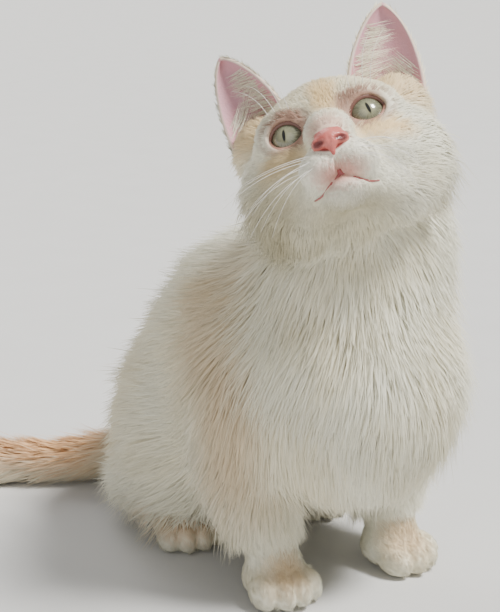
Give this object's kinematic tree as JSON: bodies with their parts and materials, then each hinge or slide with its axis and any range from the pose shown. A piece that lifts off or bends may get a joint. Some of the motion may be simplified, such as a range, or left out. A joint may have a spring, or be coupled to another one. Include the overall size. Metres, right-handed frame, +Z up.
{
  "type": "munchkin kitten model",
  "caption": "Life-size still model of a sitting long-haired, short-legged kitten, head raised and turned, for display on a flat surface.",
  "frame": {"origin": "on the floor, at the middle of the bottom of the bounding box", "axes": "+Z up; the kitten's chest faces -Y and its left side is +X; its head is turned to its right, towards -X"},
  "size_m": [0.2302, 0.2596, 0.2305],
  "materials": {
    "head_coat": "short soft cream-white fur with pale orange patches",
    "body_coat": "long soft cream-white fur with a beige stripe behind the shoulder",
    "leg_coat": "short dense cream fur, tan on top of the paws",
    "tail_coat": "long fur, orange-tan above and paler below",
    "ear_skin": "thin pink skin inside, short cream fur outside",
    "eye": "pale grey-green iris under a wet clear cornea",
    "nose_leather": "matt salmon-pink skin"
  },
  "bodies": {
    "root": {"head": "head_coat", "neck": "body_coat", "torso": "body_coat", "foreleg_left": "leg_coat", "foreleg_right": "leg_coat", "hindleg_left": "leg_coat", "hindleg_right": "leg_coat", "tail_root": "tail_coat", "tail_upper": "tail_coat", "tail_lower": "tail_coat", "tail_tip": "tail_coat", "ear_left": "ear_skin", "ear_right": "ear_skin", "eye_left": "eye", "eye_right": "eye", "nose": "nose_leather"}
  },
  "joints": []
}
